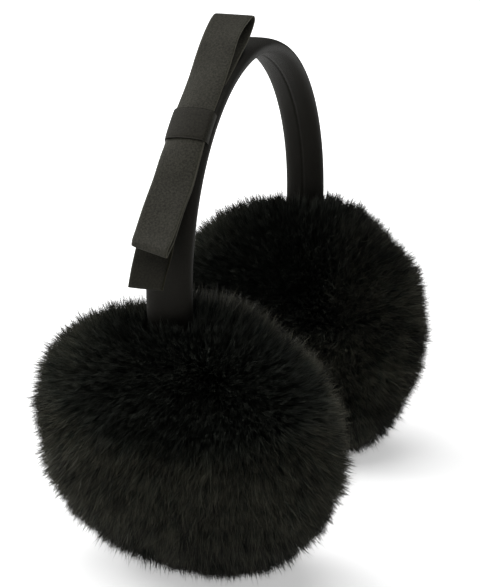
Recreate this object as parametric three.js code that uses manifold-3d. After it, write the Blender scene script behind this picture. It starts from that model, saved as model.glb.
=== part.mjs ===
// Earmuffs: a fabric-covered headband with a ribbon bow on one side and two
// fur muffs. Millimetres, +Z up. The muffs stand on the floor at z = 0, X runs
// across the head and the wearer faces -Y, so -X is the wearer's right.
import * as THREE from 'three';
import { mergeVertices } from 'three/addons/utils/BufferGeometryUtils.js';
import Module from 'manifold-3d';

const wasm = await Module();
wasm.setup();

const GAP = 0.3; // left between pieces that touch
const WELD = 1e-3; // vertices closer than this are one

const CLOTH_BLACK = 0x1c1b19;
const RIBBON_CHARCOAL = 0x2b2a26;
const FUR_BLACK = 0x0d0d0c;

const MUFF = {
  radius: 61.5, // of the round face, over the tips of the fur
  halfDepth: 32.5, // from the middle to either face, over the fur
  puff: 2.3, // 2 is an ellipsoid, more is squarer
  height: 55.8, // of its centre, less than its radius, so the fur sits flat
  lean: THREE.MathUtils.degToRad(16.7), // tops outwards
  foot: 2.5, // height of the fur that is pressed flat under it
  sides: 22,
  rings: 12,
};

const FUR = {
  locks: 54, // on each muff
  pile: 3.5, // depth of the pile over the backing
  root: 11.5, // half the width of a lock where it grows
  sunk: 3, // length of its root inside the backing
  sweep: 14, // how far its tip is combed along the surface
  hang: 0.6, // 0 is combed straight away from the axis, more also downwards
  belly: 1.45, // how much wider a lock is above its root
  uneven: 2.4, // how much the pile depth varies
  stray: 0.9, // how much its direction varies, in radians
  firstRight: 150, // number of the first lock, so each muff has its own spread
  firstLeft: 420,
};

const HOOP = {
  halfWidth: 81.5, // of the band's centreline, at its widest level
  widestAt: 118, // height of that level
  rise: 75.3, // from that level to the crown's centreline
  drop: 78.5, // vertical radius of the curve under that level
  legEnd: 64, // height where the band ends inside the muffs
};

const BAND = {
  width: 16.6,
  thickness: 6.6,
  fullness: 2.6, // exponent of the padded oval section
  sides: 14,
  steps: 48,
};

const RIBBON = {
  width: 16,
  thickness: 1,
  ease: 0.3, // each layer that is folded under another is this much narrower
  across: 4, // facets over the width
  stepsPerRow: 2, // facets from one row of a table to the next
};
RIBBON.seat = BAND.thickness / 2 + GAP + RIBBON.thickness / 2;

const KNOT = {
  from: 55, // along the hoop from its crown
  to: 67,
  wall: 1,
  stack: 4.85, // middle of the topmost layer of ribbon under it
  foot: 1.5, // how far its sides stop outside the band's centreline
  arch: 1.1, // fall of the ribbon's edges over the band's round face
  steps: 4,
};

// ---------------------------------------------------------------- the hoop

// The band's centreline in the plane y = 0, from the right muff over the
// crown to the left muff: leg, lower curve, upper half, lower curve, leg.
function hoopPath() {
  const turn = Math.atan(Math.tan(MUFF.lean) * HOOP.drop / HOOP.halfWidth);
  const legTop = new THREE.Vector2(
    HOOP.halfWidth * Math.cos(turn),
    HOOP.widestAt - HOOP.drop * Math.sin(turn),
  );
  const legFoot = new THREE.Vector2(
    legTop.x - (legTop.y - HOOP.legEnd) * Math.tan(MUFF.lean),
    HOOP.legEnd,
  );
  const path = new THREE.Path();
  const arc = (reach, from, to) =>
    path.absellipse(0, HOOP.widestAt, HOOP.halfWidth, reach, from, to, true);
  path.moveTo(-legFoot.x, legFoot.y);
  path.lineTo(-legTop.x, legTop.y);
  arc(HOOP.drop, Math.PI + turn, Math.PI);
  arc(HOOP.rise, Math.PI, 0);
  arc(HOOP.drop, 0, -turn);
  path.lineTo(legFoot.x, legFoot.y);
  return path;
}

const hoop = hoopPath();
const hoopLength = hoop.getLength();

// A point in the hoop's plane: along is the distance from the crown towards
// the right muff, out the distance outwards from the band's centreline.
function onHoop(along, out) {
  const t = THREE.MathUtils.clamp(0.5 - along / hoopLength, 0, 1);
  const run = hoop.getTangent(t);
  const beyond = (0.5 - t) * hoopLength - along;
  const point = hoop.getPoint(t);
  point.addScaledVector(run, beyond);
  return point.add(new THREE.Vector2(-run.y, run.x).multiplyScalar(out));
}

// --------------------------------------------------------- shared helpers

// Moves each vertex of a geometry to the place that a function gives it.
function reshape(geometry, place) {
  const position = geometry.getAttribute('position');
  const vertex = new THREE.Vector3();
  for (let i = 0; i < position.count; i += 1) {
    vertex.fromBufferAttribute(position, i);
    const moved = place(vertex);
    position.setXYZ(i, moved.x, moved.y, moved.z);
  }
  return geometry;
}

function weld(geometry) {
  geometry.deleteAttribute('normal');
  geometry.deleteAttribute('uv');
  return mergeVertices(geometry, WELD);
}

function toSolid(geometry) {
  const welded = weld(geometry);
  const vertProperties = new Float32Array(welded.getAttribute('position').array);
  const triVerts = new Uint32Array(welded.index.array);
  return new wasm.Manifold(new wasm.Mesh({ numProp: 3, vertProperties, triVerts }));
}

function toGeometry(solid) {
  const { vertProperties, triVerts } = solid.getMesh();
  const geometry = new THREE.BufferGeometry();
  geometry.setAttribute('position', new THREE.BufferAttribute(vertProperties, 3));
  geometry.setIndex(new THREE.BufferAttribute(triVerts, 1));
  geometry.computeVertexNormals();
  return geometry;
}

// Welds what cutting left too fine, and drops crumbs and sealed pores.
function tidy(solid) {
  const pieces = toSolid(toGeometry(solid)).decompose();
  return pieces.reduce((best, piece) => (piece.volume() > best.volume() ? piece : best));
}

function makeNode(name, geometry, color, roughness) {
  const material = new THREE.MeshStandardMaterial({ color, roughness, metalness: 0 });
  const mesh = new THREE.Mesh(geometry, material);
  mesh.name = name;
  return mesh;
}

// Scales a point of the unit disc or ball onto a rounded form whose half
// sizes are given; an exponent of 2 makes it elliptical.
function plump(point, halves, exponent) {
  const size = point.length();
  if (size === 0) return point.clone();
  const sum = point.toArray().reduce(
    (total, value, i) => total + Math.abs(value / size / halves[i]) ** exponent,
    0,
  );
  return point.clone().multiplyScalar(sum ** (-1 / exponent));
}

// ------------------------------------------------------------ the headband

function bandGeometry(clearance = 0) {
  const halves = [BAND.thickness / 2 + clearance, BAND.width / 2 + clearance];
  const length = hoopLength + 2 * clearance;
  const tube = new THREE.CylinderGeometry(1, 1, length, BAND.sides, BAND.steps);
  return reshape(tube, (vertex) => {
    const disc = new THREE.Vector2(vertex.x, vertex.z);
    const section = plump(disc, halves, BAND.fullness);
    const centre = onHoop(-vertex.y, section.x);
    return new THREE.Vector3(centre.x, section.y, centre.y);
  });
}

// ----------------------------------------------------------------- the bow

// Each table follows the middle of the ribbon's thickness at mid-width. along
// and out are places by the hoop, arch is how far the ribbon's edges fall
// over the band, and twist turns its front edge outwards, in degrees. Under
// the knot the layers are pressed together into one, 0.25 apart.
const SEAT = RIBBON.seat;
const ARCH = KNOT.arch;

const UPPER_LOOP = [
  { along: 60, out: SEAT, arch: ARCH, twist: 0 },
  { along: 48, out: SEAT, arch: ARCH, twist: 0 },
  { along: 36, out: SEAT, arch: ARCH, twist: 0 },
  { along: 26, out: 4.7, arch: 0.8, twist: 0 },
  { along: 17, out: 6.2, arch: 0.3, twist: 0 },
  { along: 11, out: 8.0, arch: 0, twist: 0 },
  { along: 7.8, out: 11, arch: 0, twist: 0 },
  { along: 10.2, out: 13.4, arch: 0, twist: 0 },
  { along: 17, out: 13.0, arch: 0, twist: 0 },
  { along: 27, out: 9.5, arch: 0.2, twist: 0 },
  { along: 36, out: 6.8, arch: 0.8, twist: 0 },
  { along: 45, out: 5.2, arch: ARCH, twist: 0 },
  { along: 54, out: 4.6, arch: ARCH, twist: 0 },
  { along: 66, out: 4.6, arch: ARCH, twist: 0 },
];

const LOWER_LOOP = [
  { along: 56, out: 4.35, arch: ARCH, twist: 0 },
  { along: 66, out: 4.35, arch: ARCH, twist: 0 },
  { along: 74, out: 5.4, arch: 1.0, twist: 5 },
  { along: 84, out: 7.4, arch: 0.6, twist: 10 },
  { along: 94, out: 11.2, arch: 0, twist: 13 },
  { along: 105.3, out: 19.0, arch: 0, twist: 16 },
  { along: 107, out: 21.0, arch: 0, twist: 16 },
  { along: 104.6, out: 21.0, arch: 0, twist: 16 },
  { along: 94, out: 13.4, arch: 0, twist: 13 },
  { along: 84, out: 9.0, arch: 0.6, twist: 10 },
  { along: 75, out: 6.4, arch: 1.0, twist: 5 },
  { along: 67, out: 4.85, arch: ARCH, twist: 0 },
  { along: 58, out: 4.85, arch: ARCH, twist: 0 },
];

const TAIL = [
  { along: 62, out: SEAT, arch: ARCH, twist: 0 },
  { along: 76, out: SEAT, arch: ARCH, twist: 0 },
  { along: 87, out: 5.2, arch: 0.8, twist: 8 },
  { along: 97, out: 9.0, arch: 0, twist: 16 },
  { along: 106, out: 15.4, arch: 0, twist: 24 },
  { along: 115.5, out: 20.8, arch: 0, twist: 28 },
];

// A flat ribbon laid through some rows of a table.
function ribbonSolid(rows, width, first = 0, last = rows.length - 1) {
  const places = new THREE.CatmullRomCurve3(
    rows.map(({ along, out }) => new THREE.Vector3(along, out, 0)),
  );
  const bends = new THREE.CatmullRomCurve3(
    rows.map(({ arch, twist }) => new THREE.Vector3(arch, twist, 0)),
  );
  const steps = (last - first) * RIBBON.stepsPerRow;
  const strip = new THREE.BoxGeometry(1, 1, 1, steps, RIBBON.across, 1);
  const widthwise = new THREE.Vector3(0, 1, 0);
  const nearby = 1e-3;
  const middleAt = (t) => {
    const { x: along, y: out } = places.getPoint(t);
    const place = onHoop(along, out);
    return new THREE.Vector3(place.x, 0, place.y);
  };
  reshape(strip, (vertex) => {
    const t = (first + (vertex.x + 0.5) * (last - first)) / (rows.length - 1);
    const middle = middleAt(t);
    const ahead = middleAt(Math.min(t + nearby, 1));
    const run = ahead.sub(middleAt(Math.max(t - nearby, 0)));
    const face = run.normalize().cross(widthwise);
    const { x: arch, y: twist } = bends.getPoint(t);
    const away = awayFromBand(middle);
    const slant = THREE.MathUtils.degToRad(twist);
    const across = vertex.y * width;
    const fall = arch * (2 * vertex.y) ** 2;
    middle.addScaledVector(widthwise, across * Math.cos(slant));
    middle.addScaledVector(away, -across * Math.sin(slant) - fall);
    return middle.addScaledVector(face, vertex.z * RIBBON.thickness);
  });
  return toSolid(strip);
}

// A loop is its under layer and its upper layer, joined at the fold.
function loopSolid(rows, width) {
  const fold = rows.length >> 1;
  return ribbonSolid(rows, width, 0, fold).add(ribbonSolid(rows, width, fold));
}

// The direction straight away from the band, at a point outside it.
function awayFromBand(point) {
  const rise = point.z - HOOP.widestAt;
  const reach = rise > 0 ? HOOP.rise : HOOP.drop;
  return new THREE.Vector3(
    point.x / HOOP.halfWidth ** 2,
    0,
    rise / reach ** 2,
  ).normalize();
}

// One ribbon folded into a loop above the knot, a loop below it and a tail.
function bowRibbonGeometry() {
  const { width, ease } = RIBBON;
  const folded = loopSolid(UPPER_LOOP, width)
    .add(loopSolid(LOWER_LOOP, width - ease))
    .add(ribbonSolid(TAIL, width - 2 * ease));
  return toGeometry(tidy(folded));
}

// A short band over the ribbon, with its sides turned down onto the headband.
function knotGeometry() {
  const inside = KNOT.stack + RIBBON.thickness / 2 + GAP;
  const archRow = (top, half) => {
    const row = [new THREE.Vector2(-half, KNOT.foot)];
    for (let i = -RIBBON.across; i <= RIBBON.across; i += 1) {
      const across = i / RIBBON.across;
      const fall = KNOT.arch * (across * half / (RIBBON.width / 2)) ** 2;
      row.push(new THREE.Vector2(across * half, top - fall));
    }
    row.push(new THREE.Vector2(half, KNOT.foot));
    return row;
  };
  const innerHalf = RIBBON.width / 2 + GAP;
  const outer = archRow(inside + KNOT.wall, innerHalf + KNOT.wall);
  const inner = archRow(inside, innerHalf).reverse();
  const section = new THREE.Shape([...outer, ...inner]);
  const bar = new THREE.ExtrudeGeometry(section, {
    depth: KNOT.to - KNOT.from,
    steps: KNOT.steps,
    bevelEnabled: false,
  });
  return weld(reshape(bar, (vertex) => {
    const place = onHoop(KNOT.to - vertex.z, vertex.y);
    return new THREE.Vector3(place.x, vertex.x, place.y);
  }));
}

// --------------------------------------------------------------- the muffs

const MUFF_AXIS = new THREE.Vector3(1, 0, 0);

// A repeatable spread of values from -0.5 to 0.5, one for each number.
function spread(number) {
  const goldenShare = (Math.sqrt(5) - 1) / 2;
  return (number * goldenShare) % 1 - 0.5;
}

// A point of the muff's rounded form, in its own frame: its axis is X.
function onMuff(direction, inset) {
  const halves = [MUFF.halfDepth - inset, MUFF.radius - inset];
  const flat = new THREE.Vector2(direction.x, Math.hypot(direction.y, direction.z));
  const scale = plump(flat, halves, MUFF.puff).length() / flat.length();
  return direction.clone().multiplyScalar(scale);
}

function muffNormal(direction, inset) {
  const step = 0.01;
  const across = new THREE.Vector3(direction.y, -direction.x, direction.z);
  const first = across.clone().cross(direction).normalize();
  const second = first.clone().cross(direction).normalize();
  const here = onMuff(direction, inset);
  const edge = (way) =>
    onMuff(direction.clone().addScaledVector(way, step).normalize(), inset).sub(here);
  const normal = edge(first).cross(edge(second)).normalize();
  return normal.dot(direction) < 0 ? normal.negate() : normal;
}

// One lock of fur: a tapered tongue combed along the surface.
function lockGeometry(direction, number) {
  const uneven = spread(number * 7) * FUR.uneven;
  const stray = spread(number * 3) * FUR.stray;
  const root = onMuff(direction, FUR.pile);
  const normal = muffNormal(direction, FUR.pile);
  const nap = new THREE.Vector3(0, direction.y, (direction.z - 1) * FUR.hang);
  nap.addScaledVector(normal, -nap.dot(normal));
  const sweep = FUR.sweep * Math.min(1, nap.length());
  const combed = nap.normalize().applyAxisAngle(normal, stray);
  const side = new THREE.Vector3().crossVectors(combed, normal);
  const tongue = new THREE.ConeGeometry(FUR.root, 1, 5, 2);
  return reshape(tongue, (vertex) => {
    const t = vertex.y + 0.5;
    const full = t > 0 && t < 1 ? FUR.belly : 1;
    const lift = t * (2 - t) * (FUR.pile + uneven + FUR.sunk) - FUR.sunk;
    const place = root.clone().addScaledVector(normal, lift);
    place.addScaledVector(combed, vertex.x * full + sweep * t * t);
    return place.addScaledVector(side, vertex.z * full);
  });
}

// Directions from the muff's centre whose points share its surface evenly, in
// a spiral from one face over the rim to the other.
function evenDirections(count) {
  const slices = 180;
  const swept = [0];
  let before = onMuff(sliceDirection(0, slices), FUR.pile);
  for (let i = 1; i <= slices; i += 1) {
    const here = onMuff(sliceDirection(i, slices), FUR.pile);
    swept.push(swept[i - 1] + (here.y + before.y) * here.distanceTo(before));
    before = here;
  }
  return Array.from({ length: count }, (unused, i) => {
    const share = swept[slices] * (i + 0.5) / count;
    const slice = swept.findIndex((area) => area >= share);
    const turn = i * Math.PI * (3 - Math.sqrt(5));
    return sliceDirection(slice, slices).applyAxisAngle(MUFF_AXIS, turn);
  });
}

function sliceDirection(slice, slices) {
  const angle = Math.PI * slice / slices;
  return new THREE.Vector3(Math.cos(angle), Math.sin(angle), 0);
}

// The muff's rounded form, in its own frame.
function formSolid(inset) {
  const ball = new THREE.SphereGeometry(1, MUFF.sides, MUFF.rings);
  ball.rotateZ(Math.PI / 2);
  return toSolid(reshape(ball, (vertex) => onMuff(vertex, inset)));
}

// A level slab, wider than a muff, between two heights.
function slab(low, high, x) {
  const width = 4 * MUFF.radius;
  const box = new THREE.BoxGeometry(width, width, high - low);
  return toSolid(box.translate(x, 0, (low + high) / 2));
}

// A filled backing with its locks, pressed into one flat foot on the floor,
// and with a pocket for the headband's end.
function muffGeometry(side, firstLock) {
  let fur = formSolid(FUR.pile);
  evenDirections(FUR.locks).forEach((direction, i) => {
    fur = fur.add(toSolid(lockGeometry(direction, i + firstLock)));
  });
  const centre = onHoopAxis(side);
  const upright = new THREE.Matrix4().makeRotationY(side * MUFF.lean);
  upright.setPosition(centre);
  const place = (solid) => toSolid(toGeometry(solid).applyMatrix4(upright));
  const foot = place(formSolid(0)).intersect(slab(0, MUFF.foot, centre.x));
  const muff = place(fur)
    .add(foot)
    .subtract(slab(-MUFF.radius, 0, centre.x))
    .subtract(toSolid(bandGeometry(GAP)));
  return toGeometry(tidy(muff));
}

// The muff's centre lies on the line of the band's leg.
function onHoopAxis(side) {
  const foot = hoop.getPoint(0);
  const x = -foot.x - (HOOP.legEnd - MUFF.height) * Math.tan(MUFF.lean);
  return new THREE.Vector3(side * x, 0, MUFF.height);
}

// ------------------------------------------------------------ the earmuffs

const earmuffs = new THREE.Group();
earmuffs.add(
  makeNode('headband', weld(bandGeometry()), CLOTH_BLACK, 0.8),
  makeNode('bow_ribbon', bowRibbonGeometry(), RIBBON_CHARCOAL, 0.6),
  makeNode('bow_knot', knotGeometry(), RIBBON_CHARCOAL, 0.6),
  makeNode('muff_right', muffGeometry(-1, FUR.firstRight), FUR_BLACK, 0.9),
  makeNode('muff_left', muffGeometry(1, FUR.firstLeft), FUR_BLACK, 0.9),
);

export default earmuffs;
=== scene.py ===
"""Earmuffs: fur muffs on a fabric headband with a ribbon bow, around the CAD frame.

Lengths are in millimetres until a mesh is made, which turns them into metres.
The muffs stand on z = 0 and X runs across the head, as in the CAD. A muff's
own axes run outwards from the head, towards the back and up.
"""
import math
from collections import namedtuple

import bpy
import numpy as np
from mathutils import Matrix, Vector, kdtree


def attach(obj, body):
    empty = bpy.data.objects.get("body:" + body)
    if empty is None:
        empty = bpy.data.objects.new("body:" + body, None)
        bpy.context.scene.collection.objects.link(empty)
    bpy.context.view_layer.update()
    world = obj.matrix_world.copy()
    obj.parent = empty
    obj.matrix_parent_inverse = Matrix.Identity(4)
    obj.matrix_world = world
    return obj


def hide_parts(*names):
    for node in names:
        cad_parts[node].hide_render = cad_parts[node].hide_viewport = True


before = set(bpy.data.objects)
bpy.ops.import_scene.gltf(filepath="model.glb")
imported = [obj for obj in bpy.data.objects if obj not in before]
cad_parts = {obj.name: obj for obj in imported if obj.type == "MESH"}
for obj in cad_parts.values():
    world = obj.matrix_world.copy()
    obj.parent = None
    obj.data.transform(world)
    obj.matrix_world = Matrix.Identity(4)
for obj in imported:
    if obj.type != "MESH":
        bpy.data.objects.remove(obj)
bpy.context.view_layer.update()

MM = 0.001
BACKWARDS = np.array([0.0, 1.0, 0.0])
DOWN = np.array([0.0, 0.0, -1.0])

# Sizes that are the CAD's too.
HOOP_HALF_WIDTH = 81.5  # of the band's centreline, at its widest level
HOOP_WIDEST_AT = 118.0  # height of that level
HOOP_RISE = 75.3  # from that level to the crown
HOOP_DROP = 78.5  # vertical radius of the curve under that level
BAND_THICKNESS = 6.6
BAND_FULLNESS = 2.6  # exponent of the padded oval section
MUFF_PUFF = 2.3  # exponent of the muff's section
MUFF_HEIGHT = 55.8  # of its centre
MUFF_LEAN = math.radians(16.7)  # tops outwards

# Sizes that differ a little from the CAD's. Its muffs are measured over the
# tips of their locks, and these over most of the fur.
MUFF_RADIUS = 60.0
MUFF_HALF_DEPTH = 32.0
HOOP_LEG_END = 66.0  # height where the band ends inside the muffs
BAND_WIDTH = 17.2
RIBBON_WIDTH = 14.4
RIBBON_THICKNESS = 0.5

# The fur's depth over its backing, which is deeper than the CAD's locks, and
# the backing's sizes, which follow from it.
PILE = 11.0
BACKING_RADIUS = MUFF_RADIUS - PILE
BACKING_HALF_DEPTH = MUFF_HALF_DEPTH - PILE


# ------------------------------------------------------------------ meshes

def make_mesh(name, vertices, faces):
    """A smooth mesh object from an array of vertices in mm and lists of faces."""
    mesh = bpy.data.meshes.new(name)
    mesh.from_pydata((np.asarray(vertices) * MM).tolist(), [], faces)
    mesh.validate()
    mesh.shade_smooth()
    return add_object(name, mesh)


def add_object(name, data):
    """An object in the scene for a mesh, a light or a camera."""
    made = bpy.data.objects.new(name, data)
    bpy.context.scene.collection.objects.link(made)
    return made


def tube_faces(rings, columns):
    """Quads round a tube whose vertices are numbered ring by ring."""
    faces = []
    for i in range(rings - 1):
        here, there = i * columns, (i + 1) * columns
        for j in range(columns):
            k = (j + 1) % columns
            faces.append((here + j, here + k, there + k, there + j))
    return faces


def flat_ends(rings, columns):
    """One face over each end of a tube."""
    last = (rings - 1) * columns
    return [tuple(range(columns)), tuple(reversed(range(last, last + columns)))]


def pointed_ends(rings, columns):
    """Triangles from each end of a tube to a pole, numbered after its rings."""
    last = (rings - 1) * columns
    first_pole, last_pole = rings * columns, rings * columns + 1
    faces = []
    for j in range(columns):
        k = (j + 1) % columns
        faces.append((first_pole, k, j))
        faces.append((last_pole, last + j, last + k))
    return faces


def distances(points):
    """How far along a line of points each of them lies."""
    steps = np.linalg.norm(np.diff(points, axis=0), axis=1)
    return np.concatenate([[0], np.cumsum(steps)])


def weave_uv(piece, u, v):
    """UVs in millimetres, one pair for each vertex."""
    mesh = piece.data
    layer = mesh.uv_layers.new(name="weave")
    index = np.empty(len(mesh.loops), dtype=np.int32)
    mesh.loops.foreach_get("vertex_index", index)
    layer.data.foreach_set("uv", np.stack([u[index], v[index]], axis=1).ravel())


def unit(vectors):
    return vectors / np.maximum(np.linalg.norm(vectors, axis=-1, keepdims=True), 1e-9)


def tangential(vectors, normals):
    """Vectors without their part along the normals."""
    return vectors - normals * np.sum(vectors * normals, axis=1, keepdims=True)


def smoothstep(start, end, value):
    """A smooth rise from 0 where the value is start to 1 where it is end."""
    t = np.clip((value - start) / (end - start), 0, 1)
    return t * t * (3 - 2 * t)


def superellipse(angle, half_x, half_y, power):
    c, s = np.cos(angle), np.sin(angle)
    size = (np.abs(c / half_x) ** power + np.abs(s / half_y) ** power) ** (-1 / power)
    return c * size, s * size


# ---------------------------------------------------------------- the hoop

UPPER_POINTS = 400  # from the crown to the widest level
LOWER_POINTS = 100  # from there to where the leg is straight
LEG_POINTS = 50


def hoop_half():
    """The band's centreline from the crown down one leg: distance, x and z."""
    turn = math.atan(math.tan(MUFF_LEAN) * HOOP_DROP / HOOP_HALF_WIDTH)
    upper = np.linspace(0, math.pi / 2, UPPER_POINTS)
    lower = np.linspace(0, turn, LOWER_POINTS)[1:]
    x = np.concatenate([HOOP_HALF_WIDTH * np.sin(upper), HOOP_HALF_WIDTH * np.cos(lower)])
    z = np.concatenate([
        HOOP_WIDEST_AT + HOOP_RISE * np.cos(upper),
        HOOP_WIDEST_AT - HOOP_DROP * np.sin(lower),
    ])
    leg = np.linspace(z[-1], HOOP_LEG_END, LEG_POINTS)[1:]
    x = np.concatenate([x, x[-1] - (z[-1] - leg) * math.tan(MUFF_LEAN)])
    z = np.concatenate([z, leg])
    along = np.concatenate([[0], np.cumsum(np.hypot(np.diff(x), np.diff(z)))])
    return along, x, z


# The half hoop's points, and the outward way at each.
HALF_ALONG, HALF_X, HALF_Z = hoop_half()
HALF_NX = np.gradient(HALF_Z, HALF_ALONG) * -1
HALF_NZ = np.gradient(HALF_X, HALF_ALONG)


def leg_x(height):
    """How far from the middle the band's centreline is at a height below its crown."""
    return np.interp(-height, -HALF_Z, HALF_X)


def on_hoop(along, out):
    """x and z at a distance from the crown towards the right muff (-X), and outwards."""
    side = np.where(np.asarray(along) > 0, -1.0, 1.0)
    far = np.abs(along)
    nx = np.interp(far, HALF_ALONG, HALF_NX)
    nz = np.interp(far, HALF_ALONG, HALF_NZ)
    x = np.interp(far, HALF_ALONG, HALF_X) + nx * out
    z = np.interp(far, HALF_ALONG, HALF_Z) + nz * out
    return side * x, z


# --------------------------------------------------------------- materials

class Surface:
    """A new material, with short ways to add nodes and to set its shader."""

    def __init__(self, name):
        self.material = bpy.data.materials.new(name)
        self.material.use_nodes = True
        tree = self.material.node_tree
        self.nodes = tree.nodes
        self.links = tree.links
        self.shader = tree.nodes["Principled BSDF"]

    def fill(self, node, inputs):
        """Link or set some inputs of a node, by their names or numbers."""
        for key, value in inputs.items():
            if isinstance(value, bpy.types.NodeSocket):
                self.links.new(value, node.inputs[key])
            else:
                node.inputs[key].default_value = value

    def add(self, kind, inputs, **settings):
        node = self.nodes.new(kind)
        for key, value in settings.items():
            setattr(node, key, value)
        self.fill(node, inputs)
        return node

    def shade(self, inputs):
        """Set the shader's inputs."""
        self.fill(self.shader, inputs)

    def attribute(self, name):
        return self.add("ShaderNodeAttribute", {}, attribute_name=name).outputs["Fac"]

    def place(self):
        return self.add("ShaderNodeTexCoord", {}).outputs["Object"]

    def maths(self, operation, *values):
        """The result of a maths node on one to three numbers or sockets."""
        node = self.add("ShaderNodeMath", dict(enumerate(values)), operation=operation)
        return node.outputs[0]

    def noise(self, place, scale, detail=2.0, roughness=0.5):
        return self.add("ShaderNodeTexNoise", {
            "Vector": place, "Scale": scale, "Detail": detail, "Roughness": roughness,
        }).outputs["Fac"]

    def ramp(self, factor, low, high, low_at=0.0, high_at=1.0):
        """A colour that goes from low to high with a factor."""
        node = self.add("ShaderNodeValToRGB", {"Fac": factor})
        first, last = node.color_ramp.elements
        first.position = low_at
        first.color = (*low, 1)
        last.position = high_at
        last.color = (*high, 1)
        return node.outputs["Color"]

    def fade(self, value, start, end, low, high):
        """A smooth change from low to high as a value goes from start to end."""
        return self.add("ShaderNodeMapRange", {
            "Value": value, "From Min": start, "From Max": end, "To Min": low, "To Max": high,
        }, interpolation_type="SMOOTHSTEP").outputs["Result"]

    def mix(self, factor, first, second, blend="MIX"):
        return self.add("ShaderNodeMix", {
            "Factor": factor, "A": first, "B": second,
        }, data_type="RGBA", blend_type=blend).outputs["Result"]


def fur_material():
    """Black plush fibres, from the strands' attributes.

    Brushed fur is warm and lighter towards its tips, where the darker roots are
    painted shade deep in the pile, and standing fur is cooler and more even, a
    colour that is painted shade for fur standing on end. A higher tone makes a
    strand lighter and glossier; the tone holds random variation, painted shade
    and painted highlights.
    """
    fur = Surface("black_fur")
    reach = fur.attribute("reach")
    tone = fur.attribute("tone")
    # painted shade: darker towards the roots, deep in the pile
    warm = fur.ramp(reach, (0.0180, 0.0270, 0.0260), (0.0710, 0.0675, 0.0567), low_at=0.55)
    # painted shade: the cooler, more even colour of the standing fur
    standing_shade_colour = fur.ramp(reach, (0.0480, 0.0560, 0.0530), (0.0570, 0.0625, 0.0590), low_at=0.35)
    fibre = fur.mix(fur.attribute("cold"), warm, standing_shade_colour)
    shade = fur.mix(tone, (0.22, 0.23, 0.25, 1), (1.78, 1.73, 1.52, 1))
    fur.shade({
        "Base Color": fur.mix(1.0, fibre, shade, blend="MULTIPLY"),
        "Roughness": fur.maths("MULTIPLY_ADD", tone, -0.35, 0.68),
        "Specular IOR Level": 0.12,
        "Specular Tint": (1.0, 0.97, 0.86, 1),
    })
    return fur.material


def backing_material():
    """The cloth that the fur grows from."""
    cloth = Surface("fur_backing")
    noise = cloth.noise(cloth.place(), scale=900.0, detail=3.0)
    cloth.shade({
        "Base Color": cloth.ramp(noise, (0.0008, 0.0008, 0.0008), (0.003, 0.003, 0.0028)),
        "Roughness": 0.9,
        "Specular IOR Level": 0.05,
    })
    return cloth.material


# The pitch of the threads and the depth of their relief in mm, and how much
# specks of grain change the colour.
Weave = namedtuple("Weave", "pitch depth grain")
BAND_WEAVE = Weave(pitch=0.55, depth=0.12, grain=0.9)
RIBBON_WEAVE = Weave(pitch=0.42, depth=0.1, grain=1.3)

# How much three other things change the colour of any cloth.
STREAK_SHARE = 0.25
CLOUD_SHARE = 0.25
THREAD_SHARE = 0.09

STREAK_STRETCH = (0.06, 2.6, 1.0)  # long along the cloth and narrow across it
EDGE_HIGHLIGHT = 0.45  # width of the painted highlights along the ribbon's edges
EDGE_HIGHLIGHT_SHARE = 0.6  # of their colour at the very edge
EDGE_HIGHLIGHT_LIGHT = 2.4  # times the cloth's lighter colour


def woven_material(name, weave, dark, light, gloss=0.14, half_width=None):
    """Cloth woven along its UVs, u lengthwise and v across, with painted highlights
    along its edges if its half width is given."""
    cloth = Surface(name)
    uv = cloth.add("ShaderNodeUVMap", {}, uv_map="weave").outputs["UV"]
    split = cloth.add("ShaderNodeSeparateXYZ", {"Vector": uv}).outputs

    def threads(place):
        return cloth.maths("SINE", cloth.maths("MULTIPLY", place, 2 * math.pi / weave.pitch))

    crossing = cloth.maths("MULTIPLY", threads(split["X"]), threads(split["Y"]))
    stretched = cloth.add("ShaderNodeVectorMath", {
        0: uv, 1: STREAK_STRETCH,
    }, operation="MULTIPLY").outputs[0]
    streaks = cloth.noise(stretched, scale=1.0, detail=4.0, roughness=0.6)
    clouds = cloth.noise(cloth.place(), scale=160.0, detail=5.0)
    specks = cloth.noise(uv, scale=1.25, roughness=0.7)
    # Each noise is a half on average, and the threads' crossing is nought.
    lightness = 0.5 - (STREAK_SHARE + CLOUD_SHARE + weave.grain) / 2
    for pattern, share in (
        (streaks, STREAK_SHARE),
        (clouds, CLOUD_SHARE),
        (specks, weave.grain),
        (crossing, THREAD_SHARE),
    ):
        lightness = cloth.maths("MULTIPLY_ADD", pattern, share, lightness)
    colour = cloth.ramp(lightness, dark, light, low_at=0.3, high_at=0.72)
    # Painted highlights where the ribbon's edges catch the light.
    if half_width:
        aside = cloth.maths("ABSOLUTE", split["Y"])
        edge_highlight = cloth.fade(aside, half_width - EDGE_HIGHLIGHT, half_width, 0.0, EDGE_HIGHLIGHT_SHARE)
        highlight_colour = [EDGE_HIGHLIGHT_LIGHT * part for part in light]
        colour = cloth.mix(edge_highlight, colour, (*highlight_colour, 1))
    relief = cloth.add("ShaderNodeBump", {
        "Height": crossing, "Strength": 0.35, "Distance": weave.depth * MM,
    })
    cloth.shade({
        "Base Color": colour,
        "Normal": relief.outputs["Normal"],
        "Roughness": 0.6,
        "Specular IOR Level": gloss,
        "Specular Tint": (1.0, 0.96, 0.84, 1),
        "Sheen Weight": 0.02,
        "Sheen Roughness": 0.45,
        "Sheen Tint": (0.8, 0.8, 0.75, 1),
    })
    return cloth.material


# --------------------------------------------------------------- the muffs

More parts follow.
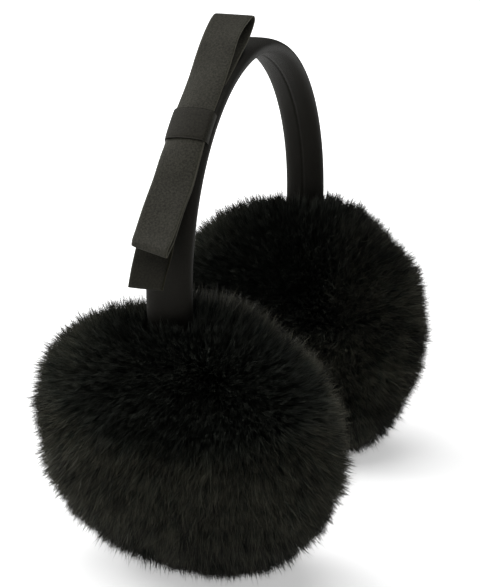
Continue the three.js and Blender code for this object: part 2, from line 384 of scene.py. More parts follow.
# Places on the right muff (-1) and the left one (1) where the fur swells, in
# the muff's own axes: out, back, up, how much and how far round.
SWELLS = {
    -1: (
        (-5, 45, 40, 4.0, 18), (18, 42, -25, 2.0, 30), (16, -30, -45, 2.0, 24),
        (-15, -10, 54, 4.5, 14), (-14, -40, 38, 3.5, 20),
    ),
    1: (
        (2, -42, -42, 4.0, 16), (6, -58, -10, 1.5, 14), (5, -50, 30, 4.0, 13),
        (2, -18, 57, 3.0, 13), (-6, 40, 42, 4.0, 18),
    ),
}

# The way the unbrushed fur stands on each muff's face, in the muff's own axes.
STANDING = {
    -1: np.array([0.76, -0.32, 0.57]),
    1: np.array([-0.94, -0.32, 0.06]),
}

# The middle of the loosened fur near each muff's top, in the muff's own axes, where the fur also
# gets a painted highlight.
LOOSENED = {-1: np.array([0.0, 32.0, 37.0]), 1: np.array([-6.0, 33.0, 37.0])}
LOOSENED_REACH = 12.0

# The parting over the brushed fur of the right muff: its height in the muff's
# own axes, how much higher it is at the back and at the front, and its blur.
PARTING = 20.0
PARTING_BACK_RISE = 8.0
PARTING_FRONT_RISE = 3.0
PARTING_BLUR = 3.5

# How much the fur leans away from its face's middle, and how much down: all
# over each muff and, besides, where it is brushed.
LEAN = (0.08, 0.04)
BRUSHED_LEAN = {-1: (0.3, 0.6), 1: (0.36, 0.14)}


class Muff:
    """Where a muff stands, and how its fur swells and is brushed."""

    def __init__(self, side):
        self.side = side
        lean_x, lean_z = math.sin(MUFF_LEAN), math.cos(MUFF_LEAN)
        x = leg_x(MUFF_HEIGHT) - (HOOP_LEG_END - MUFF_HEIGHT) * math.tan(MUFF_LEAN)
        self.centre = np.array([side * x, 0, MUFF_HEIGHT])
        self.axes = np.array([[side * lean_z, 0, -lean_x], [0, 1, 0], [side * lean_x, 0, lean_z]])

    def to_row(self, points):
        """Points in the row's axes."""
        return points @ self.axes + self.centre

    def turn(self, vectors):
        """Vectors in the row's axes."""
        return vectors @ self.axes

    def to_own(self, vectors):
        return vectors @ self.axes.T

    def swell(self, points, normals):
        """Points of the backing, moved out where the fur swells."""
        total = np.zeros(len(points))
        for out, back, up, height, reach in SWELLS[self.side]:
            place = np.array([out, back, up]) * BACKING_RADIUS / MUFF_RADIUS
            distance = np.linalg.norm(points - place, axis=1)
            total += height * np.exp(-((distance / reach) ** 2))
        return points + normals * total[:, None]

    def loosened(self, roots):
        """How far the fur is loosened at each root, from 0 to 1."""
        away = np.linalg.norm(roots - LOOSENED[self.side], axis=1)
        return np.exp(-((away / LOOSENED_REACH) ** 2))

    def nap(self, roots):
        """How far the fur is brushed at each root, and the way that it lies.

        Only the face that the photo shows is brushed: on the right muff the
        outer one, below a parting that rises at both ends, and on the left muff
        the inner one, on its lower half and along its front.
        """
        down = self.to_own(DOWN)
        fan = roots * [0, 1, 1] / BACKING_RADIUS
        back, up = roots[:, 1:2], roots[:, 2:3]
        away, fall = BRUSHED_LEAN[self.side]
        if self.side < 0:
            parting = PARTING + PARTING_BACK_RISE * smoothstep(8, 34, back)
            parting += PARTING_FRONT_RISE * smoothstep(-18, -42, back)
            brushed = smoothstep(PARTING_BLUR, -PARTING_BLUR, up - parting)
            stroke = fan * away + down * fall
        else:
            low = smoothstep(12, -6, up)
            brushed = np.maximum(low, smoothstep(-10, -30, back))
            stroke = fan * away + down * fall * low
        brushed = brushed * smoothstep(-12, 6, roots[:, 0:1] * -self.side)
        return brushed, fan * LEAN[0] + down * LEAN[1] + stroke * brushed


PROFILE_POINTS = 721  # enough to spread the strands evenly


def backing_profile(count):
    """Points (outwards, radius) of the backing's half outline, face to face."""
    angle = np.linspace(0, math.pi, count)
    return superellipse(angle, BACKING_HALF_DEPTH, BACKING_RADIUS, MUFF_PUFF)


def backing_normals(points):
    """The outward ways at points of the backing, in the muff's own axes."""
    radius = np.maximum(np.hypot(points[:, 1], points[:, 2]), 1e-6)
    axial = np.sign(points[:, 0]) * np.abs(points[:, 0]) ** (MUFF_PUFF - 1)
    axial = axial / BACKING_HALF_DEPTH ** MUFF_PUFF
    radial = radius ** (MUFF_PUFF - 1) / BACKING_RADIUS ** MUFF_PUFF
    return unit(np.stack([
        axial, radial * points[:, 1] / radius, radial * points[:, 2] / radius,
    ], axis=1))


def scatter(count, rng):
    """Points and normals spread evenly over the backing, in the muff's own axes."""
    p, rho = backing_profile(PROFILE_POINTS)
    ring = (rho[1:] + rho[:-1]) * np.hypot(np.diff(p), np.diff(rho))
    area = np.concatenate([[0], np.cumsum(ring)])
    pick = rng.random(count) * area[-1]
    out = np.interp(pick, area, p)
    radius = np.interp(pick, area, rho)
    angle = rng.random(count) * 2 * math.pi
    points = np.stack([out, radius * np.cos(angle), radius * np.sin(angle)], axis=1)
    return points, backing_normals(points)


def nearest(points, centres):
    """For each point, the number of the nearest centre."""
    tree = kdtree.KDTree(len(centres))
    for i, centre in enumerate(centres):
        tree.insert(centre, i)
    tree.balance()
    return np.array([tree.find(point)[1] for point in points])


WAVES = 14
WAVE_LENGTH = 26.0
WAVE_SPREAD = (0.6, 1.6)  # times that length


def uneven(points, rng):
    """A smooth random value about 0, the sum of waves that run all ways."""
    total = np.zeros(len(points))
    for _ in range(WAVES):
        way = unit(rng.normal(0, 1, 3))
        pace = 2 * math.pi / (WAVE_LENGTH * rng.uniform(*WAVE_SPREAD))
        total += np.sin(points @ way * pace + rng.uniform(0, 2 * math.pi))
    return total / math.sqrt(WAVES / 2)


CLEAR_OF_FACES = 0.2  # how far the strands keep off the headband
CLEAR_OF_EDGES = 0.1


def in_band(points):
    """True where a point lies in the headband's leg, or all but touches it."""
    x, y, z = points.T
    out = (np.abs(x) - leg_x(z)) * math.cos(MUFF_LEAN)
    in_thickness = np.abs(out) < BAND_THICKNESS / 2 + CLEAR_OF_FACES
    in_width = np.abs(y) < BAND_WIDTH / 2 + CLEAR_OF_EDGES
    return in_thickness & in_width & (z > HOOP_LEG_END)


# ----------------------------------------------------------------- the fur

# A kind of strand: how many each muff has, the number that is added to its
# coat's seed, their length over the pile's depth and how much it varies, how
# much their direction varies, how far they gather to their clump, how much
# painted shade darkens them where they stand, their width in mm, and whether they bend.
Kind = namedtuple("Kind", "count seed length spread stray gathered dim width bent")
UNDERCOAT = Kind(
    count=240000, seed=1, length=0.98, spread=0.07, stray=0.08,
    gathered=0.68, dim=0.0, width=0.52, bent=False,
)
GUARD_HAIRS = Kind(
    count=60000, seed=2, length=1.06, spread=0.18, stray=0.26,
    gathered=0.3, dim=0.25, width=0.36, bent=True,
)

# A way that strands gather: how many groups each muff has, and how much the
# direction, length and tone vary from group to group.
Groups = namedtuple("Groups", "count lean long tone")
CLUMPS = Groups(count=15000, lean=0.2, long=0.1, tone=0.19)  # small locks
TUFTS = Groups(count=380, lean=0.1, long=0.045, tone=0.12)  # bunches of locks
TUFT_GATHER = 0.10  # how far the strands gather to their tuft

BUMPS_SEED = 7  # added to the coat's seed
BUMPS = 0.06  # how much the bumps change a strand's length
SHORTEST, LONGEST = 0.6, 1.4  # times the kind's own length
ROOT_DEPTH = 1.0  # of the strands in the backing
BEND_AT = 0.58  # share of a strand's run at its middle
BEND_GATHER = 0.4  # share of its gathering at its middle
BEND_WIDTH = 0.85  # share of its width at its middle
BEND_REACH = 0.6  # how far the middle's colour is from the root's to the tip's
CURL = 1.2  # how much the middle of a leaning strand stands up from a straight run

STAND_FROM, STAND_FULLY = 0.12, 0.48  # how much a spot faces the standing way
STAND_LEAN = 0.6  # how much the fur leans that way
STAND_RUFFLE = 0.85  # how much less the standing fur is ruffled,
STAND_GATHER = 0.7  # and gathered,
STAND_PATCHES = 0.85  # and patchy
LOOSE_FALL = 0.8  # how much less the loosened fur stands

LEAST_HEIGHT = 0.25  # of a tip over the floor
TIP_LAYERS = 1.4  # depth of the pressed tips over that height
MIDDLE_HEIGHT = 0.6  # of a pressed middle over its tip
PRESS_FROM = 1.0  # height over its tip's lowest, under which a strand is drawn in
PRESS = 7.0  # depth under that at which its way aside is halved

# The strands' tone: random, with painted shade and painted light added where said.
MID_TONE = 0.5
STRAND_TONE = 0.3  # how much the tone varies from strand to strand
LOOSE_PAINTED_HIGHLIGHT = 0.28  # painted highlight on the loosened fur
STANDING_CENTRE_PAINTED_LIGHT = 0.2  # painted light where the standing strands stand straight off the backing
TOP_PAINTED_SHADE = 0.38  # painted shade on fur that faces up, where it doesn't stand
LOW_PAINTED_SHADE = 0.36  # painted shade in the lower half
FLOOR_PAINTED_SHADE = 0.4  # painted shade near the floor, besides
LEFT_LOW_PAINTED_SHADE = 1.4  # times both painted shades, on the left muff

# Where the strands grow: their roots and normals in the muff's own axes, the
# numbers of their clump and tuft, the way the fur lies, how far it is
# loosened, how much it faces the way that unbrushed fur stands, and how far
# it stands that way.
Spots = namedtuple("Spots", "roots normals clump tuft nap loose facing upright")

# Strands in the row's axes: three points of each, the way across each, their
# tone, how much of the standing fur's painted shade colour they take, whether
# they grow on the outer half of the muff, and whether they are clear of the headband.
Strands = namedtuple("Strands", "points widthwise tone cold outer clear")


class Coat:
    """What the strands of one muff share: its clumps, tufts and bumps."""

    def __init__(self, muff, seed):
        self.muff = muff
        self.seed = seed
        rng = np.random.default_rng(seed)
        self.clumps = muff.swell(*scatter(CLUMPS.count, rng))
        self.tufts = muff.swell(*scatter(TUFTS.count, rng))
        self.clump_lean = rng.normal(0, CLUMPS.lean, (CLUMPS.count, 3))
        self.clump_long = rng.normal(0, CLUMPS.long, CLUMPS.count)
        self.clump_tone = rng.normal(0, CLUMPS.tone, CLUMPS.count)
        self.tuft_lean = rng.normal(0, TUFTS.lean, (TUFTS.count, 3))
        self.tuft_tone = rng.normal(0, TUFTS.tone, TUFTS.count)
        self.tuft_long = rng.normal(0, TUFTS.long, TUFTS.count)

    def grow(self, kind):
        """The strands of one kind."""
        rng = np.random.default_rng(self.seed + kind.seed)
        spots = self.sow(kind, rng)
        points = self.shape(kind, spots, rng)
        press_up(points, rng)
        widthwise = roll(points, self.muff.turn(spots.normals), rng)
        tone = self.tones_with_painted_light(kind, spots, points[0, :, 2], rng)
        root, middle, tip = points
        between = root * 0.4 + middle * 0.6
        clear = ~(in_band(middle) | in_band(tip) | in_band(between))
        return Strands(points, widthwise, tone, spots.upright, spots.roots[:, 0] > 0, clear)

    def sow(self, kind, rng):
        """Where the strands grow, and how the fur lies there."""
        muff = self.muff
        roots, normals = scatter(kind.count, rng)
        roots = muff.swell(roots, normals)
        brushed, nap = muff.nap(roots)
        loose = muff.loosened(roots)
        standing = STANDING[muff.side]
        facing = normals @ standing
        upright = smoothstep(STAND_FROM, STAND_FULLY, facing) * (1 - LOOSE_FALL * loose)
        upright = upright * (1 - brushed[:, 0])
        nap += standing * STAND_LEAN * upright[:, None]
        clump, tuft = nearest(roots, self.clumps), nearest(roots, self.tufts)
        return Spots(roots, normals, clump, tuft, nap, loose, facing, upright)

    def shape(self, kind, spots, rng):
        """Three points of each strand: its root, its middle and its tip."""
        roots, normals, clump, tuft = spots[:4]
        upright = spots.upright[:, None]
        ruffle = self.tuft_lean[tuft] + self.clump_lean[clump]
        ruffle = ruffle + rng.normal(0, kind.stray, (kind.count, 3))
        ruffle = ruffle * (1 - STAND_RUFFLE * upright)
        way = unit(normals + tangential(spots.nap + ruffle, normals))
        bumps = uneven(roots, np.random.default_rng(self.seed + BUMPS_SEED))
        long = 1 + rng.normal(0, kind.spread, kind.count) + BUMPS * bumps
        long += self.tuft_long[tuft] + self.clump_long[clump]
        run = way * PILE * (kind.length * np.clip(long, SHORTEST, LONGEST))[:, None]
        gather = tangential(self.clumps[clump] - roots, normals) * kind.gathered
        gather += tangential(self.tufts[tuft] - roots, normals) * TUFT_GATHER
        gather *= 1 - STAND_GATHER * upright
        middle = roots + run * BEND_AT + gather * BEND_GATHER + (normals - way) * CURL
        strand = (roots - normals * ROOT_DEPTH, middle, roots + run + gather)
        return np.stack([self.muff.to_row(part) for part in strand])

    def tones_with_painted_light(self, kind, spots, height, rng):
        """How dark (0) or light (1) each strand is: a random tone, with painted shade and painted
        highlights added.
        """
        cold, loose = spots.upright, spots.loose
        patchy = self.tuft_tone[spots.tuft] + self.clump_tone[spots.clump]
        patchy += rng.normal(0, STRAND_TONE, kind.count)
        tone = MID_TONE + patchy * (1 - STAND_PATCHES * cold)
        # painted shade on standing strands, and a painted highlight on the loosened fur
        tone = tone - kind.dim * cold + LOOSE_PAINTED_HIGHLIGHT * loose
        # painted light lifting the middle of the standing fur
        tone += STANDING_CENTRE_PAINTED_LIGHT * smoothstep(0.72, 1.0, spots.facing) * cold
        # painted shade on fur that faces up
        facing_up = smoothstep(0.3, 0.9, self.muff.turn(spots.normals)[:, 2])
        tone -= TOP_PAINTED_SHADE * facing_up * (1 - cold) * (1 - loose)
        # painted shade in the lower half and near the floor, stronger on the left muff
        low = smoothstep(55, 14, height) * LOW_PAINTED_SHADE + smoothstep(26, 8, height) * FLOOR_PAINTED_SHADE
        if self.muff.side > 0:
            low = low * LEFT_LOW_PAINTED_SHADE
        return np.clip(tone - low, 0, 1)


def press_up(points, rng):
    """Lift middles and tips off the floor, and draw in those that would sink."""
    root, middle, tip = points
    lowest = LEAST_HEIGHT + rng.random(len(root)) * TIP_LAYERS
    for part in (middle, tip):
        sunk = np.clip(lowest + PRESS_FROM - part[:, 2], 0, None)[:, None]
        part[:, :2] = root[:, :2] + (part[:, :2] - root[:, :2]) / (1 + sunk / PRESS)
    middle[:, 2] = np.maximum(middle[:, 2], lowest + MIDDLE_HEIGHT)
    tip[:, 2] = np.maximum(tip[:, 2], lowest)


def roll(points, normals, rng):
    """The way across each strand, turned about it at random."""
    ahead = unit(points[2] - points[0])
    flat = unit(np.cross(ahead, normals) + 1e-6)
    raised = np.cross(ahead, flat)
    angle = rng.uniform(0, math.pi, len(ahead))[:, None]
    return flat * np.cos(angle) + raised * np.sin(angle)


def strands_mesh(name, kind, strands, chosen):
    """One mesh of tapered blades: a triangle each, or a quad and a triangle."""
    root, middle, tip = strands.points[:, chosen]
    half = strands.widthwise[chosen] * kind.width / 2
    if kind.bent:
        bend = half * BEND_WIDTH
        corners = [root - half, root + half, middle - bend, middle + bend, tip]
        reach = [0.0, 0.0, BEND_REACH, BEND_REACH, 1.0]
        loops, starts = [0, 1, 3, 2, 2, 3, 4], [0, 4]
    else:
        corners = [root - half, root + half, tip]
        reach = [0.0, 0.0, 1.0]
        loops, starts = [0, 1, 2], [0]
    count = len(tip)
    number = np.arange(count)[:, None]
    loop_index = (number * len(corners) + np.array(loops)).ravel()
    loop_start = (number * len(loops) + np.array(starts)).ravel()
    mesh = bpy.data.meshes.new(name)
    mesh.vertices.add(count * len(corners))
    mesh.vertices.foreach_set("co", (np.stack(corners, axis=1) * MM).ravel())
    mesh.loops.add(len(loop_index))
    mesh.loops.foreach_set("vertex_index", loop_index)
    mesh.polygons.add(len(loop_start))
    mesh.polygons.foreach_set("loop_start", loop_start)
    mesh.update(calc_edges=True)
    mesh.shade_smooth()
    for label, values in (
        ("reach", np.tile(reach, count)),
        ("tone", np.repeat(strands.tone[chosen], len(corners))),
        # cold carries the standing fur's painted shade to the material
        ("cold", np.repeat(strands.cold[chosen], len(corners))),
    ):
        layer = mesh.attributes.new(label, "FLOAT", "POINT")
        layer.data.foreach_set("value", values)
    return add_object(name, mesh)


BACKING_POINTS = 41  # from pole to pole
BACKING_COLUMNS = 96
BACKING_FOOT = 1.5  # height where it is pressed flat


def build_backing(name, muff):
    """The filled body of the muff that the fur grows on, pressed flat below."""
    p, rho = backing_profile(BACKING_POINTS)
    angles = np.linspace(0, 2 * math.pi, BACKING_COLUMNS, endpoint=False)
    rings = np.stack([
        np.repeat(p[1:-1], BACKING_COLUMNS),
        np.outer(rho[1:-1], np.cos(angles)).ravel(),
        np.outer(rho[1:-1], np.sin(angles)).ravel(),
    ], axis=1)
    poles = np.array([[p[0], 0, 0], [p[-1], 0, 0]])
    vertices = np.concatenate([rings, poles])
    vertices = muff.to_row(muff.swell(vertices, backing_normals(vertices)))
    vertices[:, 2] = np.maximum(vertices[:, 2], BACKING_FOOT)
    size = (BACKING_POINTS - 2, BACKING_COLUMNS)
    faces = tube_faces(*size) + pointed_ends(*size)
    if muff.side < 0:  # its own axes are mirrored
        faces = [tuple(reversed(face)) for face in faces]
    return make_mesh(name, vertices, faces)


def build_muff(name, side, seed, fur, cloth):
    """A filled backing with its undercoat, in two halves, and its guard hairs."""
    muff = Muff(side)
    coat = Coat(muff, seed)
    body = build_backing(f"{name}_backing", muff)
    body.data.materials.append(cloth)
    under = coat.grow(UNDERCOAT)
    guard = coat.grow(GUARD_HAIRS)
    strands = [
        strands_mesh(f"{name}_fur_outer", UNDERCOAT, under, under.outer & under.clear),
        strands_mesh(f"{name}_fur_inner", UNDERCOAT, under, ~under.outer & under.clear),
        strands_mesh(f"{name}_fur_guard", GUARD_HAIRS, guard, guard.clear),
    ]
    for piece in strands:
        piece.data.materials.append(fur)
    for piece in [body, *strands]:
        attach(piece, "root")
        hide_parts(name)


# ------------------------------------------------------------ the headband

BAND_SHORT = 1.0  # how far its cover ends before the centreline does
BAND_RINGS = 361
BAND_COLUMNS = 72
BAND_SQUEEZE = 0.14  # draws the columns towards the band's edges, in radians
SEAM_DEPTH = 0.32
SEAM_WIDTH = 0.45
PUCKER = 0.35  # how much the seam's depth changes along it
PUCKER_PITCH = 3.4


def build_headband(cloth):
    """The padded cover, with a sunk and puckered seam along its inner face."""
    end = HALF_ALONG[-1] - BAND_SHORT
    along = np.linspace(-end, end, BAND_RINGS)
    angle = np.linspace(0, 2 * math.pi, BAND_COLUMNS, endpoint=False)
    angle += BAND_SQUEEZE * np.sin(2 * angle)
    out, across = superellipse(angle, BAND_THICKNESS / 2, BAND_WIDTH / 2, BAND_FULLNESS)
    seam = np.exp(-(across / SEAM_WIDTH) ** 2) * (out < 0)
    pucker = 1 + PUCKER * np.sin(along * 2 * math.pi / PUCKER_PITCH)
    sunk = out[None, :] + SEAM_DEPTH * seam[None, :] * pucker[:, None]
    # Two poles close the ends, after the rings.
    u = np.concatenate([np.repeat(along, BAND_COLUMNS), [-end, end]])
    x, z = on_hoop(u, np.concatenate([sunk.ravel(), [0, 0]]))
    y = np.concatenate([np.tile(across, BAND_RINGS), [0, 0]])
    size = (BAND_RINGS, BAND_COLUMNS)
    faces = tube_faces(*size) + pointed_ends(*size)
    piece = make_mesh("headband_cover", np.stack([x, y, z], axis=1), faces)
    girth = distances(np.stack([out, across], axis=1))
    weave_uv(piece, u, np.concatenate([np.tile(girth, BAND_RINGS), [0, 0]]))
    piece.data.materials.append(cloth)
    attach(piece, "root")
    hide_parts("headband")


# ----------------------------------------------------------------- the bow

RIBBON_GAP = 0.1  # between the band and the lowest layer
SEAT = BAND_THICKNESS / 2 + RIBBON_GAP + RIBBON_THICKNESS / 2  # of that layer's middle
ARCH = 1.4  # fall of the ribbon's edges where it lies on the band

# along, out, arch, twist, skew, aside: the middle of the ribbon's thickness at
# mid-width by the hoop, the fall of its edges over the band, the outward turn
# of its front edge in degrees, how much further along its back edge lies, and
# how far back the whole ribbon lies.
UPPER_LOOP = (
    (62, SEAT, ARCH, 0, 0, 0.3), (52, SEAT, ARCH, 0, 0, 0.3), (40, SEAT, ARCH, 0, 0, 0.3),
    (30, 4.0, 1.1, 0, 0, 0.2), (22, 5.2, 0.5, 0, 0, 0), (15.5, 7.4, 0.1, -1, 0.6, -0.4),
    (11.5, 10.6, 0, -3, 0.9, -0.7), (9.4, 13.3, 0, -4.3, 1.1, -0.8),
    (10.3, 15.1, 0, -4.3, 1.1, -0.7), (14, 14.3, 0, -3, 1.1, -0.3),
    (22, 11.3, 0, 2, 0.3, 0.2), (30, 7.4, 0.3, -1.6, 0, 0.4), (38, 5.2, 0.9, 0, 0, 0.3),
    (46, 4.3, ARCH, 0, 0, 0.3), (54, 4.2, ARCH, 0, 0, 0.2), (62, 4.2, ARCH, 0, 0, 0.1),
)
LOWER_LOOP = (
    (60, 4.2, ARCH, 0, 0, 0), (67, 4.2, ARCH, 1, 0, -0.1), (74, 4.7, 1.0, -4, 0, -0.2),
    (84, 5.9, 0.4, -9, 0, -0.2), (94, 10.6, 0, -5, 0, -0.2), (101.2, 14.8, 0, 2, -0.6, -0.2),
    (105.0, 18.9, 0, 10, -1.1, -0.2), (105.4, 19.9, 0, 10, -1.1, -0.2),
    (103.8, 19.6, 0, 10, -1.1, -0.2), (100.4, 16.2, 0, 2, -0.6, -0.2),
    (94, 12.1, 0, -5, 0, -0.3), (84, 7.2, 0.4, -9, 0, -0.4), (74, 5.4, 1.0, -4, 0, -0.2),
    (67, 4.7, ARCH, 1, 0, -0.1), (60, 4.7, ARCH, 0, 0, 0),
)
TAIL = (
    (60, SEAT, ARCH, 0, 0, 0), (76, SEAT, ARCH, 0, 0, 0.2), (87, 4.6, 0.8, 7, 0, 0.5),
    (97, 9.4, 0, 12, 0, 0.8), (106, 12.8, 0, 5, 0.2, 1.0), (111.6, 16.2, 0, 9, 0.2, 1.1),
    (115.8, 19.0, 0.2, 12, 0.3, 1.1),
)

STEPS_PER_ROW = 8  # along the ribbon, from one row of a table to the next
STEPS_ACROSS = 20
EDGE_THINNING = 0.75  # how much of its thickness, squared, the edge loses
EDGE_SHARPNESS = 16  # the higher, the nearer to the edge the thinning starts


def catmull(rows):
    """A Catmull-Rom curve through the rows of a table."""
    rows = np.asarray(rows, float)
    carried_on = np.vstack([2 * rows[0] - rows[1], rows, 2 * rows[-1] - rows[-2]])
    t = np.linspace(0, 1, STEPS_PER_ROW, endpoint=False)[:, None]
    parts = []
    for i in range(len(rows) - 1):
        a, b, c, d = carried_on[i:i + 4]
        parts.append(0.5 * (
            2 * b + (c - a) * t + (2 * a - 5 * b + 4 * c - d) * t**2
            + (3 * b - a - 3 * c + d) * t**3
        ))
    parts.append(rows[-1:])
    return np.vstack(parts)


def ribbon(name, rows, cloth):
    """A thin ribbon through the rows of a table, with slightly rounded edges.

    It gives the piece and its length along the middle.
    """
    along, out, arch, twist, skew, aside = catmull(rows).T

    def beside_hoop(distance, outwards):
        x, z = on_hoop(distance, outwards)
        return np.stack([x, aside, z], axis=1)

    share = np.linspace(-1, 1, STEPS_ACROSS + 1)
    half_thick = RIBBON_THICKNESS / 2 * np.sqrt(1 - EDGE_THINNING * share**EDGE_SHARPNESS)
    across = np.concatenate([share, share[::-1]])
    lift = np.concatenate([half_thick, -half_thick[::-1]])
    centre = beside_hoop(along, out)
    slid = beside_hoop(along + skew, out) - centre
    away = unit(centre - beside_hoop(along, np.zeros(len(along))))[:, None, :]
    face = unit(np.cross(unit(np.gradient(centre, axis=0)), BACKWARDS))
    slant = np.radians(twist)[:, None, None]
    widthwise = BACKWARDS * np.cos(slant) - away * np.sin(slant)
    vertices = (
        centre[:, None, :]
        + slid[:, None, :] * across[None, :, None]
        + widthwise * (across * RIBBON_WIDTH / 2)[None, :, None]
        - away * (arch[:, None] * across**2)[:, :, None]
        + face[:, None, :] * lift[None, :, None]
    )
    rings, columns = vertices.shape[:2]
    faces = tube_faces(rings, columns) + flat_ends(rings, columns)
    piece = make_mesh(name, vertices.reshape(-1, 3), faces)
    run = distances(centre)
    weave_uv(piece, np.repeat(run, columns), np.tile(across * RIBBON_WIDTH / 2, rings))
    piece.data.materials.append(cloth)
    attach(piece, "root")
    return piece, float(run[-1])


KNOT_FROM, KNOT_TO = 54.8, 67.2  # along the hoop
KNOT_WALL = 0.7
KNOT_STACK = 5.05  # its inner face over the hoop's centreline
KNOT_EASE = 0.5  # how much it is wider than the ribbon, on each side
KNOT_BEND_AT = 0.86  # share of its half width where its sides turn down
KNOT_BEND_POWER = 2.2
KNOT_SIDES = 2.1  # how far the sides reach down
KNOT_PINCH = 0.02  # share of its half width that they draw in
KNOT_EDGE_DROP = 0.25  # of its outer face at both its edges
KNOT_CROWN = 0.28  # rise of its outer face from there to its middle
KNOT_EDGE_SHARPNESS = 9.0
KNOT_COLUMNS = 41  # over the inner face, and as many over the outer one
KNOT_RINGS = 33


def build_knot(cloth):
    """A short smooth band over the ribbon's waist, turned down at its sides."""
    share = np.linspace(-1, 1, KNOT_COLUMNS)
    bend = np.clip((np.abs(share) - KNOT_BEND_AT) / (1 - KNOT_BEND_AT), 0, 1)
    inner_y = share * (RIBBON_WIDTH / 2 + KNOT_EASE) * (1 - KNOT_PINCH * bend**2)
    inner_out = KNOT_STACK - ARCH * share**2 - KNOT_SIDES * bend**KNOT_BEND_POWER
    slope = np.gradient(inner_out, inner_y)
    normal = unit(np.stack([-slope, np.ones_like(slope)], axis=1))
    ring_y = np.concatenate([inner_y + normal[:, 0] * KNOT_WALL, inner_y[::-1]])
    ring_out = np.concatenate([inner_out + normal[:, 1] * KNOT_WALL, inner_out[::-1]])
    from_edge = 1 - np.abs(np.linspace(-1, 1, KNOT_RINGS))
    crown = KNOT_CROWN * (1 - np.exp(-from_edge * KNOT_EDGE_SHARPNESS)) - KNOT_EDGE_DROP
    is_outer = np.repeat([1, 0], KNOT_COLUMNS)
    out = ring_out[None, :] + crown[:, None] * is_outer[None, :]
    columns = len(ring_y)
    along = np.repeat(np.linspace(KNOT_FROM, KNOT_TO, KNOT_RINGS), columns)
    x, z = on_hoop(along, out.ravel())
    vertices = np.stack([x, np.tile(ring_y, KNOT_RINGS), z], axis=1)
    faces = tube_faces(KNOT_RINGS, columns) + flat_ends(KNOT_RINGS, columns)
    piece = make_mesh("knot_band", vertices, faces)
    girth = distances(np.stack([ring_y, ring_out], axis=1))
    weave_uv(piece, np.tile(girth, KNOT_RINGS), along)
    piece.data.materials.append(cloth)
    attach(piece, "root")
    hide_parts("bow_knot")


def build_bow(cloth, knot_shaded_cloth, tail_shaded_cloth):
    """The ribbon's three lengths and the knot over them."""
    for name, rows, look in (
        ("ribbon_loop_upper", UPPER_LOOP, cloth),
        ("ribbon_loop_lower", LOWER_LOOP, cloth),
        ("ribbon_tail", TAIL, tail_shaded_cloth),
    ):
        piece, length = ribbon(name, rows, look)
        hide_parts("bow_ribbon")
    build_knot(knot_shaded_cloth)


# --------------------------------------------------------------- the stage

CAMERA_AZIMUTH = math.radians(19.74)  # from -X towards -Y
CAMERA_ELEVATION = math.radians(18.94)
CAMERA_DISTANCE = 579.9
CAMERA_TARGET = (-7.83, 0.0, 95.79)
CAMERA_ROLL = math.radians(-0.73)
CAMERA_LENS = 88.27
SENSOR_WIDTH = 36.0

FLOOR_HALF_WIDTH = 3000.0
FLOOR_GLOW_NEAR = 0.46
FLOOR_GLOW_FAR = 1.15
GLOW_FROM, GLOW_TO = 0.2, 0.9  # distances from the middle in metres

LIGHTS_AIM = Vector((0, 0, 0.09))  # in metres

WORLD_SHOWN = 1.1  # strength that the camera sees
WORLD_LIGHT = 0.1  # strength that lights the object


def add_camera():
    """The camera at the photo's viewpoint."""
    flat = math.cos(CAMERA_ELEVATION)
    back = Vector((
        -flat * math.cos(CAMERA_AZIMUTH),
        -flat * math.sin(CAMERA_AZIMUTH),
        math.sin(CAMERA_ELEVATION),
    ))
    data = bpy.data.cameras.new("camera")
    data.lens = CAMERA_LENS
    data.sensor_width = SENSOR_WIDTH
    camera = add_object("camera", data)
    turn = back.to_track_quat("Z", "Y").to_matrix().to_4x4()
    place = (Vector(CAMERA_TARGET) + back * CAMERA_DISTANCE) * MM
    camera.matrix_world = Matrix.Translation(place) @ turn @ Matrix.Rotation(CAMERA_ROLL, 4, "Z")
    bpy.context.scene.camera = camera


def softbox(name, place, size, power):
    """A square area light that faces the object, in metres and watts."""
    data = bpy.data.lights.new(name, "AREA")
    data.size = size
    data.energy = power
    light = add_object(name, data)
    light.location = place
    towards = LIGHTS_AIM - Vector(place)
    light.rotation_euler = towards.to_track_quat("-Z", "Y").to_euler()


def add_floor():
    """White paper on a light table, which glows a little and more further off."""
    paper = Surface("white_paper")
    place = paper.place()
    grain = paper.noise(place, scale=40.0)
    relief = paper.add("ShaderNodeBump", {"Height": grain, "Strength": 0.02})
    far = paper.add("ShaderNodeVectorMath", {0: place}, operation="LENGTH").outputs["Value"]
    paper.shade({
        "Base Color": (0.85, 0.85, 0.85, 1),
        "Normal": relief.outputs["Normal"],
        "Roughness": 0.8,
        "Specular IOR Level": 0.1,
        "Emission Color": (1, 1, 1, 1),
        "Emission Strength": paper.fade(far, GLOW_FROM, GLOW_TO, FLOOR_GLOW_NEAR, FLOOR_GLOW_FAR),
    })
    half = FLOOR_HALF_WIDTH
    corners = [(-half, -half, 0), (half, -half, 0), (half, half, 0), (-half, half, 0)]
    floor = make_mesh("floor", corners, [(0, 1, 2, 3)])
    floor.data.materials.append(paper.material)


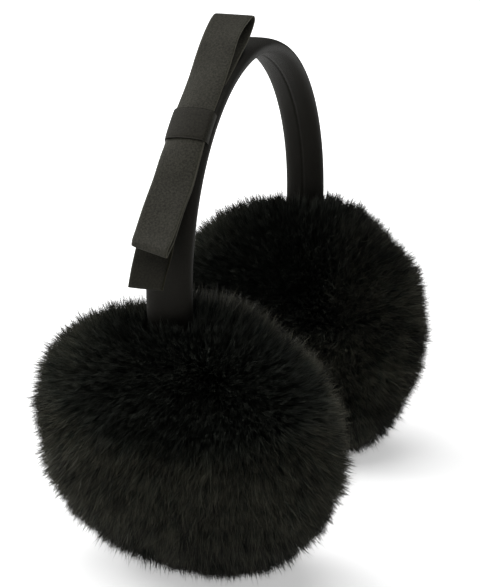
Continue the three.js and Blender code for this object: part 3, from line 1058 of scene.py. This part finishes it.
def add_world():
    """White all round for the camera, and a softer light on the object."""
    world = bpy.data.worlds.new("studio")
    bpy.context.scene.world = world
    world.use_nodes = True
    nodes = world.node_tree.nodes
    links = world.node_tree.links
    shown = nodes["Background"]
    light = nodes.new("ShaderNodeBackground")
    for background, strength in ((shown, WORLD_SHOWN), (light, WORLD_LIGHT)):
        background.inputs["Color"].default_value = (1, 1, 1, 1)
        background.inputs["Strength"].default_value = strength
    path = nodes.new("ShaderNodeLightPath")
    mix = nodes.new("ShaderNodeMixShader")
    links.new(path.outputs["Is Camera Ray"], mix.inputs["Fac"])
    links.new(light.outputs["Background"], mix.inputs[1])
    links.new(shown.outputs["Background"], mix.inputs[2])
    links.new(mix.outputs["Shader"], nodes["World Output"].inputs["Surface"])


# ---------------------------------------------------------------- assembly

def main():
    """Build the pieces, and the camera, floor and lights round them."""
    add_camera()
    build_headband(woven_material(
        "band_cloth", BAND_WEAVE, (0.0030, 0.0029, 0.0024), (0.0078, 0.0074, 0.0060),
    ))
    ribbon_cloth = woven_material(
        "ribbon_cloth", RIBBON_WEAVE, (0.0085, 0.0080, 0.0058), (0.0335, 0.0325, 0.0245),
        half_width=RIBBON_WIDTH / 2,
    )
    # The knot and the tail are darker copies of the ribbon's cloth: painted shade.
    knot_shaded_cloth = woven_material(
        "knot_shaded_cloth", RIBBON_WEAVE, (0.0045, 0.0042, 0.0030), (0.0165, 0.0155, 0.0110),
    )
    tail_shaded_cloth = woven_material(
        "tail_shaded_cloth", RIBBON_WEAVE, (0.0030, 0.0028, 0.0016), (0.0125, 0.0118, 0.0072),
        gloss=0.06, half_width=RIBBON_WIDTH / 2,
    )
    build_bow(ribbon_cloth, knot_shaded_cloth, tail_shaded_cloth)
    fur = fur_material()
    fur_cloth = backing_material()
    build_muff("muff_right", side=-1, seed=11, fur=fur, cloth=fur_cloth)
    build_muff("muff_left", side=1, seed=23, fur=fur, cloth=fur_cloth)
    add_floor()
    add_world()
    softbox("light_top", place=(-0.05, 0.12, 1.2), size=1.3, power=14.5)
    softbox("light_left", place=(0.1, 1.1, 0.55), size=0.9, power=13)
    softbox("light_right", place=(0.45, -1.1, 0.6), size=0.9, power=1)
    bpy.context.scene.view_settings.view_transform = "Standard"


main()
